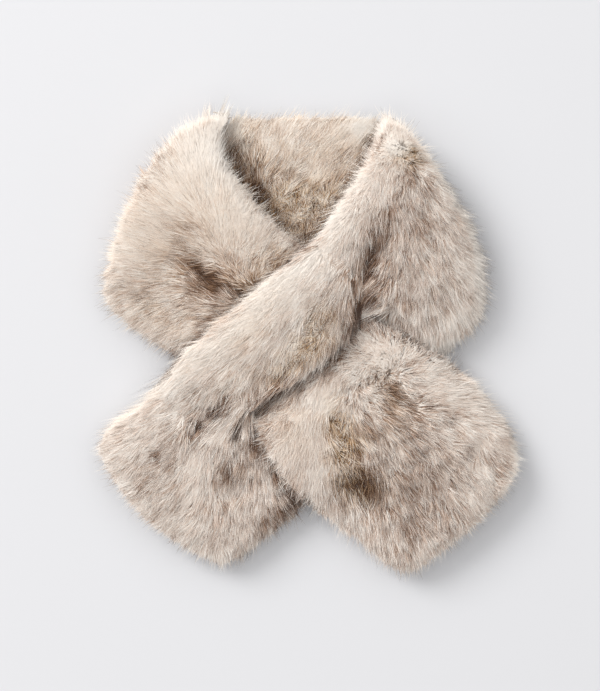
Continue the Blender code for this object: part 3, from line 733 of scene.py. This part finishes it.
class Coat:
    """Hairs of one stretch, grown in steps from their roots to their colours."""

    def __init__(self, surface, coat, above, count, seed):
        self.rng = np.random.default_rng(seed)
        self.coat = coat
        self.count = count
        places = scattered(surface, above, count, self.rng)
        self.root, self.over, self.normal, self.closed = places
        self.wall = 1.0 - np.abs(self.normal[:, 2])
        self.open_side = np.clip(1.0 - self.closed / CLOSE_SHARES[0], 0.0, 1.0)
        self.open_rim = self.wall * self.open_side
        self.big = BIG.nearest(self.over)[1]
        self.mid_middle, self.mid = MID.nearest(self.over)
        self.small_middle, self.small = SMALL.nearest(self.over)
        self.read_tables()
        self.turn_lie()
        self.set_lengths()
        self.lay_down()
        self.lean_together()
        self.hold_tips(surface.coat_tree)
        self.make_blades()
        self.mix_colours()
        self.loose = self.open_rim > RIM_SHARE

    def even(self):
        """A random number from 0 to 1 for each hair."""
        return self.rng.random(self.count)

    def normally(self, spread=1.0):
        """A random number about 0 for each hair."""
        return self.rng.normal(0.0, spread, self.count)

    def read_tables(self):
        """Lie and tone of the coat, where the part of each hair that shows lies."""
        x = self.over[:, 0]
        y = self.over[:, 1]
        self.lie, self.settled = flow_at(self.coat, x, y)
        curl = np.clip(tone_and_shade_at(self.coat, x, y)[1] - CURLY_GOLD, 0.0, 1.0)
        ahead = TIP_AHEAD * self.settled * np.clip(self.normal[:, 2], WALL_AHEAD, 1.0)
        ahead = ahead * (1.0 - CURLY_AHEAD * curl)
        ahead_x = x + ahead * self.lie[:, 0]
        ahead_y = y + ahead * self.lie[:, 1]
        dark, self.gold = tone_and_shade_at(self.coat, ahead_x, ahead_y)
        # Painted shade where other stretches close in on the coat.
        dark = dark + np.interp(self.closed, CLOSE_SHARES, CLOSED_IN_SHADE)
        # Painted light: the loose coat round open walls is paler, for light through the loose fur.
        self.dark = np.maximum(dark - RIM_PAINTED_LIGHT * self.open_rim, 0.0)
        lively = np.clip((self.dark - CALM_TONE) / (LIVELY_TONE - CALM_TONE), 0.0, 1.0)
        self.smoothed = patches_at(SMOOTHED, self.coat, x, y)[0]
        self.lively = lively * (1.0 - self.smoothed)
        self.curly = np.clip(self.gold - CURLY_GOLD, 0.0, 1.0)

    def turn_lie(self):
        """Tufts and single hairs turned out of the coat's lie."""
        unsettled = 1.0 - self.settled
        swing = (BIG_SWING * (self.big[:, 0] - 0.5) + MID_SWING * (self.mid[:, 0] - 0.5)
                 + SMALL_SWING * (self.small[:, 0] - 0.5))
        swing = swing * (CALM_SWING + (1.0 - CALM_SWING) * self.lively)
        swing = swing * np.interp(self.dark, DARK_SWING_TONES, DARK_SWING_SHARES)
        stray = HAIR_SWING * (1.0 + STRAY_UNSETTLED * unsettled + STRAY_CURLY * self.curly
                              + STRAY_SMOOTHED * self.smoothed)
        swing += self.normally() * stray
        swing += UNSETTLED_SWING * unsettled * (self.mid[:, 0] + self.small[:, 0] - 1.0)
        self.lie = turned(self.lie, swing)

    def set_lengths(self):
        """Length of each hair, how high its tip stands and how far it sweeps."""
        wall = self.wall
        high = np.linalg.norm(self.over - self.root, axis=1)
        self.guard = self.even() < GUARD_SHARE
        uneven = (BIG_RISE * self.big[:, 1] + MID_RISE * self.mid[:, 1]
                  + SMALL_RISE * self.small[:, 1] - MEAN_RISE)
        rise_top = TOP_RISE + (CALM_RISE + LIVELY_RISE * self.lively) * uneven
        rise_wall = (WALL_RISE[0] + WALL_RISE[1] * self.big[:, 1]
                     + WALL_RISE[2] * self.mid[:, 1] + WALL_RISE[3] * self.small[:, 1])
        rise = rise_top * (1.0 - wall) + rise_wall * wall
        rise = rise + self.normally(HAIR_RISE + HAIR_RISE * wall) + GUARD_RISE * self.guard
        rise = rise + UNSETTLED_RISE * (1.0 - self.settled)
        length = HAIR_LENGTH * (0.80 + 0.20 * self.mid[:, 2] + 0.20 * self.even())
        length = length * (1.0 - CURLY_SHORTER * self.curly)
        tuft = self.mid[:, 2] + 0.5 * self.big[:, 2] - 0.65
        length = length * (1.0 + RIM_TUFT * wall * tuft)
        longer = GUARD_LONG + RIM_LONG * wall * self.even() ** 3
        length = length * np.where(self.guard, longer, 1.0)
        length = length * np.interp(self.normal[:, 2], (-0.8, -0.2), (UNDER_LENGTH, 1.0))
        self.climb = np.clip(high * rise, 0.5, 0.93 * length)
        sweep = np.sqrt(length**2 - self.climb**2)
        self.sweep = sweep * np.maximum(self.settled, UNSETTLED_SWEEP)

    def lay_down(self):
        """Middle and tip of each hair; over an edge a share of the lie goes outwards."""
        up = unit(self.over - self.root)
        flat = np.concatenate((self.lie, np.zeros((self.count, 1))), axis=1)
        out = np.sum(flat * self.normal, axis=1)
        self.along = unit(flat - self.normal * out[:, None])
        kept = np.where(out > 0, np.where(self.guard, GUARD_REACH, EDGE_REACH), 0.0)
        flat = flat - self.normal * (out * (1.0 - kept))[:, None]
        flat[:, 2] -= DROOP * (1.0 - np.clip(self.normal[:, 2], 0.0, 1.0))
        self.middle = (self.root + up * (self.climb * BELLY_UP * HAIR_BELLY)[:, None]
                       + flat * (self.sweep * BELLY_AHEAD * HAIR_BELLY)[:, None])
        self.end = self.root + up * self.climb[:, None] + flat * self.sweep[:, None]

    def lean_together(self):
        """Hairs of a tuft lean together, towards its middle."""
        pull = (MID_PULL * (self.mid_middle - self.over)
                + SMALL_PULL * (self.small_middle - self.over))
        pull -= self.normal * np.sum(pull * self.normal, axis=1, keepdims=True)
        far = np.linalg.norm(pull, axis=1, keepdims=True)
        limit = (PULL_LIMIT + PULL_RIM * self.wall)[:, None]
        pull *= np.minimum(1.0, limit / np.maximum(far, 1e-6))
        calm = np.maximum(CALM_PULL + (1.0 - CALM_PULL) * self.lively, self.wall)
        pull *= (np.where(self.guard, GUARD_PULL, 1.0) * self.settled * calm)[:, None]
        self.end += pull
        self.middle += HAIR_BELLY * pull

    def hold_tips(self, tree):
        """Tips held to their reach past the solids' faces, and over the floor."""
        ragged = self.mid[:, 1] * (0.4 + 0.6 * self.big[:, 1])
        reach = REACH_LEAST + REACH_TUFT * ragged**2 * (0.4 + 0.6 * self.wall)
        low_down = np.clip((LOW_COAT - self.over[:, 2]) / LOW_COAT, 0.0, 1.0)
        soft = self.open_side * (RIM_SOFT * self.even() ** RIM_FADE + LOW_SOFT * low_down)
        soft += (1.0 - self.open_side) * EDGE_SOFT * self.even()
        soft = np.minimum(soft, SOFT_MOST)
        single = REACH_SINGLE * self.even() ** SINGLE_RARE
        reach = reach + np.where(self.guard, single, 0.0)
        reach = np.minimum(reach, REACH_UP + (REACH_SINGLE - REACH_UP) * self.wall)
        held = held_back(tree, self.end, reach, soft)
        self.middle += HAIR_BELLY * (held - self.end)
        kept_in = inside_reach(self.root, held)
        self.end = self.root + (held - self.root) * kept_in
        self.middle = self.root + (self.middle - self.root) * kept_in
        for points in (self.root, self.middle, self.end):
            points[:, 2] = np.maximum(points[:, 2], FLOOR_CLEAR)

    def make_blades(self):
        """A blade's flat side faces outwards, rolled a little about the hair."""
        axis = unit(self.end - self.root)
        side = unit(np.cross(axis, self.normal))
        face = unit(np.cross(side, axis))
        roll = self.rng.uniform(-BLADE_ROLL, BLADE_ROLL, self.count)[:, None]
        wide = side * np.cos(roll) + face * np.sin(roll)
        facing = unit(np.cross(wide, axis))
        inwards = np.sum(facing * self.normal, axis=1) < 0
        facing *= np.where(inwards, -1.0, 1.0)[:, None]
        own = (CALM_OWN + LIVELY_OWN * self.lively)[:, None]
        raised = self.normal.copy()
        raised[:, 2] += WALL_LIT * self.wall
        self.shading = unit(unit(raised) * (1.0 - own) + facing * own)
        width = HAIR_WIDTH * (WIDTH_LEAST + WIDTH_SPREAD * self.even())
        width = width * (CALM_WIDE - (CALM_WIDE - 1.0) * self.lively)
        width = width * np.where(self.guard, GUARD_THIN, 1.0)
        half = wide * (width / 2)[:, None]
        corners = (self.root, self.middle - half, self.middle + half, self.end)
        self.points = np.stack(corners, axis=1)

    def mix_colours(self):
        """Colours of the points: the coat's tone, streaked, with pale or dark tips."""
        uneven = (BIG_TONE * (streaked(BIG, self.over, self.along) - 0.5)
                  + MID_TONE * (streaked(MID, self.over, self.along) - 0.5)
                  + SMALL_TONE * (self.small[:, 3] - 0.5))
        dark = self.dark + self.lively * uneven * (1.0 + GOLD_CONTRAST * self.curly)
        spread = HAIR_TONE_LOW + (HAIR_TONE_HIGH - HAIR_TONE_LOW) * self.lively
        hair_dark = dark + self.normally() * spread
        more = patches_at(DARK_TIPS, self.coat, self.over[:, 0], self.over[:, 1])[0]
        tipped = np.clip(0.5 * dark + more, 0.03, 0.9)
        dark_tip = self.guard & (self.even() < tipped * (0.4 + 1.2 * self.mid[:, 4]))
        lift = TIP_LIFT - DARK_LIFT * dark
        patchy = TUFT_LIFT * self.lively * (self.small[:, 4] - 0.45)
        lift += patchy * np.clip(1.4 - dark, 0.1, 1.0)
        lift = np.where(self.guard, GUARD_LIFT, lift) * np.clip(1.5 - dark, 0.1, 1.0)
        # Painted light: tips round open walls are whiter, for light through the loose fur.
        lift = lift + RIM_TIP_PAINTED_LIGHT * self.open_rim
        lift = np.clip(lift, 0.0, 0.9)
        self.colours = hair_colours(hair_dark, self.gold, lift, self.settled, dark_tip,
                                    self.rng)


def ramp(value, stops):
    """Colour at a value between the stops (value, red, green, blue)."""
    stops = np.array(stops, float)
    return np.stack([np.interp(value, stops[:, 0], stops[:, k]) for k in (1, 2, 3)], -1)


def hair_colours(dark, gold, lift, settled, dark_tip, rng):
    """Colours of the four points of each hair, root to tip."""
    share = np.clip(gold, 0.0, 1.0)[:, None]
    body = ramp(dark, TONES) * (1 - share) + ramp(dark, GOLD_TONES) * share
    end = body * (1 - lift[:, None]) + np.array(PALE_TIP) * lift[:, None]
    end = np.where(dark_tip[:, None], np.array(GUARD_TIP), end)
    # Roots, and a little the bellies, are darker: partly the fur's own darker roots, partly painted
    # shade deep in the coat. Painted light where the lie parts or meets: roots are paler there, so the
    # shaded partings don't show dark.
    root_shade = np.interp(dark, (0.0, 0.3, 1.0), (0.92, 0.45, 0.3))
    root = body * (root_shade + (0.8 - root_shade) * np.clip(1.2 - 1.5 * settled, 0.0, 1.0))[:, None]
    belly = body * np.interp(dark, (0.0, 0.3, 1.0), (1.0, 0.84, 0.8))[:, None]
    tint = 1.0 + rng.normal(0.0, 0.03, (len(dark), 1))
    colours = np.stack((root, belly, belly, end), axis=1) * tint[:, None, :]
    return np.clip(colours, 0.0, 1.0)


def set_floats(data, name, values):
    data.foreach_set(name, np.ascontiguousarray(values, dtype=np.float32).ravel())


def blade_mesh(name, hairs, chosen):
    """One mesh of two-triangle blades, shaded with the coat's own form."""
    points = hairs.points[chosen]
    shading = hairs.shading[chosen]
    colours = hairs.colours[chosen]
    count = len(points)
    first = np.arange(count, dtype=np.int32)[:, None] * 4
    corners = first + np.array([0, 2, 1, 1, 2, 3], dtype=np.int32)
    flipped = first + np.array([0, 1, 2, 1, 3, 2], dtype=np.int32)
    cross = np.cross(points[:, 2] - points[:, 0], points[:, 1] - points[:, 0])
    wrong = np.sum(cross * shading, axis=1) < 0
    corners[wrong] = flipped[wrong]
    mesh = bpy.data.meshes.new(name)
    mesh.vertices.add(count * 4)
    mesh.loops.add(count * 6)
    mesh.polygons.add(count * 2)
    set_floats(mesh.vertices, "co", points * MM)
    mesh.loops.foreach_set("vertex_index", corners.ravel())
    mesh.polygons.foreach_set("loop_start", np.arange(0, count * 6, 3, dtype=np.int32))
    mesh.polygons.foreach_set("use_smooth", np.ones(count * 2, dtype=bool))
    mesh.update(calc_edges=True)
    layer = mesh.color_attributes.new("fur_colour", "FLOAT_COLOR", "POINT")
    solid = np.ones((count, 4, 1))
    set_floats(layer.data, "color", np.concatenate((colours, solid), axis=2))

    # Each hair has its own cell of the flat map, so that it can be baked.
    side = int(math.ceil(math.sqrt(count)))
    number = np.arange(count)
    cell = np.stack((number % side, number // side), axis=1)[:, None, :]
    inside = np.array(((0.5, 0.06), (0.08, 0.5), (0.92, 0.5), (0.5, 0.94)))
    places = ((cell + inside) / side).reshape(-1, 2)
    flat = mesh.uv_layers.new(name="OFBake")
    set_floats(flat.data, "uv", places[corners.ravel()])
    mesh.normals_split_custom_set_from_vertices(np.repeat(shading, 4, axis=0))
    return mesh


def skin_mesh(name, surface, coat):
    """Backing with its underfur, toned as the coat over it, darker, and with painted shade where other
    stretches close in.
    """
    mesh = bpy.data.meshes.new(name)
    mesh.from_pydata((surface.skin * MM).tolist(), [], surface.faces.tolist())
    mesh.polygons.foreach_set("use_smooth", np.ones(len(surface.faces), dtype=bool))
    mesh.update()
    dark = tone_and_shade_at(coat, surface.skin[:, 0], surface.skin[:, 1])[0]
    # Painted shade where other stretches close in on the backing.
    dark = dark + np.interp(surface.closed, CLOSE_SHARES, CLOSED_IN_SHADE)
    # Darker than the coat over it: partly its own dark roots, partly painted shade deep in the coat.
    shade = np.interp(dark, (0.0, 0.3, 1.0), (0.85, 0.5, 0.35))[:, None]
    colours = np.ones((len(dark), 4))
    colours[:, :3] = ramp(dark, TONES) * shade
    layer = mesh.color_attributes.new("fur_colour", "FLOAT_COLOR", "POINT")
    set_floats(layer.data, "color", colours)
    return mesh


def add_object(name, data):
    obj = bpy.data.objects.new(name, data)
    bpy.context.scene.collection.objects.link(obj)
    return obj


def add_piece(name, mesh, material):
    mesh.materials.append(material)
    return add_object(name, mesh)


def toned_material(name, scale, low, high, roughness):
    """The coat's own colour, unevenly toned; also its place and shader nodes."""
    mat = bpy.data.materials.new(name)
    mat.use_nodes = True
    nodes = mat.node_tree.nodes
    links = mat.node_tree.links
    shader = nodes["Principled BSDF"]
    shader.inputs["Roughness"].default_value = roughness
    colour = nodes.new("ShaderNodeAttribute")
    colour.attribute_name = "fur_colour"
    place = nodes.new("ShaderNodeTexCoord")
    noise = nodes.new("ShaderNodeTexNoise")
    noise.inputs["Scale"].default_value = scale
    levels = nodes.new("ShaderNodeMapRange")
    levels.inputs["To Min"].default_value = low
    levels.inputs["To Max"].default_value = high
    shade = nodes.new("ShaderNodeMix")
    shade.data_type = "RGBA"
    shade.blend_type = "MULTIPLY"
    shade.inputs[0].default_value = 1.0
    links.new(place.outputs["Object"], noise.inputs["Vector"])
    links.new(noise.outputs["Fac"], levels.inputs["Value"])
    links.new(colour.outputs["Color"], shade.inputs[6])
    links.new(levels.outputs["Result"], shade.inputs[7])
    links.new(shade.outputs[2], shader.inputs["Base Color"])
    return mat, place, shader


def hair_material():
    """Hair: a fine uneven nap, soft gloss and sheen."""
    mat, _, shader = toned_material("plush_hair", 420.0, 0.90, 1.08, 0.62)
    shader.inputs["Specular IOR Level"].default_value = 0.2
    shader.inputs["Sheen Weight"].default_value = 0.08
    shader.inputs["Sheen Roughness"].default_value = 0.5
    return mat


def skin_material():
    """Backing with its dense underfur: mottled, with a fine grain."""
    mat, place, shader = toned_material("plush_backing", 90.0, 0.75, 1.15, 0.9)
    nodes = mat.node_tree.nodes
    links = mat.node_tree.links
    grain = nodes.new("ShaderNodeTexNoise")
    grain.inputs["Scale"].default_value = 900.0
    bump = nodes.new("ShaderNodeBump")
    bump.inputs["Strength"].default_value = 0.5
    bump.inputs["Distance"].default_value = 0.0008
    links.new(place.outputs["Object"], grain.inputs["Vector"])
    links.new(grain.outputs["Fac"], bump.inputs["Height"])
    links.new(bump.outputs["Normal"], shader.inputs["Normal"])
    return mat


def dress_stretch(name, seed, hair, backing):
    """Backing, coat and loose rim of one stretch, in place of its CAD part."""
    coat, count, above, beneath, held = STRETCHES[name]
    surface = Surface(name, coat)
    skin = add_piece(name + "_backing", skin_mesh(name + "_backing", surface, coat), backing)
    hairs = Coat(surface, coat, above, count, seed)
    fur = add_piece(name + "_fur", blade_mesh(name + "_fur", hairs, ~hairs.loose), hair)
    rim = add_piece(name + "_rim", blade_mesh(name + "_rim", hairs, hairs.loose), hair)
    rim.visible_shadow = False
    for piece in (skin, fur, rim):
        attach(piece, "root")
        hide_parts(name)


def add_floor():
    bpy.ops.mesh.primitive_plane_add(size=FLOOR_SIZE)
    floor = bpy.context.object
    floor.name = "floor"
    mat = bpy.data.materials.new("pale_surface")
    mat.use_nodes = True
    shader = mat.node_tree.nodes["Principled BSDF"]
    shader.inputs["Base Color"].default_value = FLOOR_COLOUR
    shader.inputs["Roughness"].default_value = 0.9
    shader.inputs["Specular IOR Level"].default_value = 0.0
    floor.data.materials.append(mat)


def add_lamp(name, kind, place, energy):
    """A lamp turned to the middle of the coat."""
    data = bpy.data.lights.new(name, kind)
    data.energy = energy
    data.color = LIGHT_COLOUR
    lamp = add_object(name, data)
    lamp.location = place
    lamp.rotation_euler = (-Vector(place)).to_track_quat("-Z", "Y").to_euler()
    lamp.visible_camera = False
    return data


def add_lights():
    window = add_lamp("window", "AREA", WINDOW_AT, WINDOW_POWER)
    window.shape = "DISK"
    window.size = WINDOW_WIDE
    fill = add_lamp("fill", "SUN", FILL_FROM, FILL_STRENGTH)
    fill.angle = FILL_SPREAD
    card = add_lamp("card", "SUN", CARD_FROM, CARD_STRENGTH)
    card.angle = CARD_SPREAD
    world = bpy.data.worlds.new("studio")
    world.use_nodes = True
    sky = world.node_tree.nodes["Background"]
    sky.inputs["Color"].default_value = SKY_COLOUR
    sky.inputs["Strength"].default_value = SKY_STRENGTH
    bpy.context.scene.world = world
    bpy.context.scene.view_settings.view_transform = "Standard"
    bpy.context.scene.cycles.denoising_prefilter = "NONE"


def add_camera():
    """Camera straight overhead, framed as the picture is."""
    data = bpy.data.cameras.new("overhead")
    data.sensor_fit = "HORIZONTAL"
    data.sensor_width = 36.0
    wide = PICTURE_WIDE * PICTURE_MM * MM
    data.lens = data.sensor_width * (CAMERA_HEIGHT - MIDDLE_HEIGHT) / wide
    camera = add_object("overhead", data)
    camera.location = (PICTURE_MIDDLE_X * MM, PICTURE_MIDDLE_Y * MM, CAMERA_HEIGHT)
    bpy.context.scene.camera = camera


def main():
    hair = hair_material()
    backing = skin_material()
    for number, name in enumerate(STRETCHES):
        dress_stretch(name, SEED + 10 * (number + 1), hair, backing)
    add_floor()
    add_lights()
    add_camera()


main()
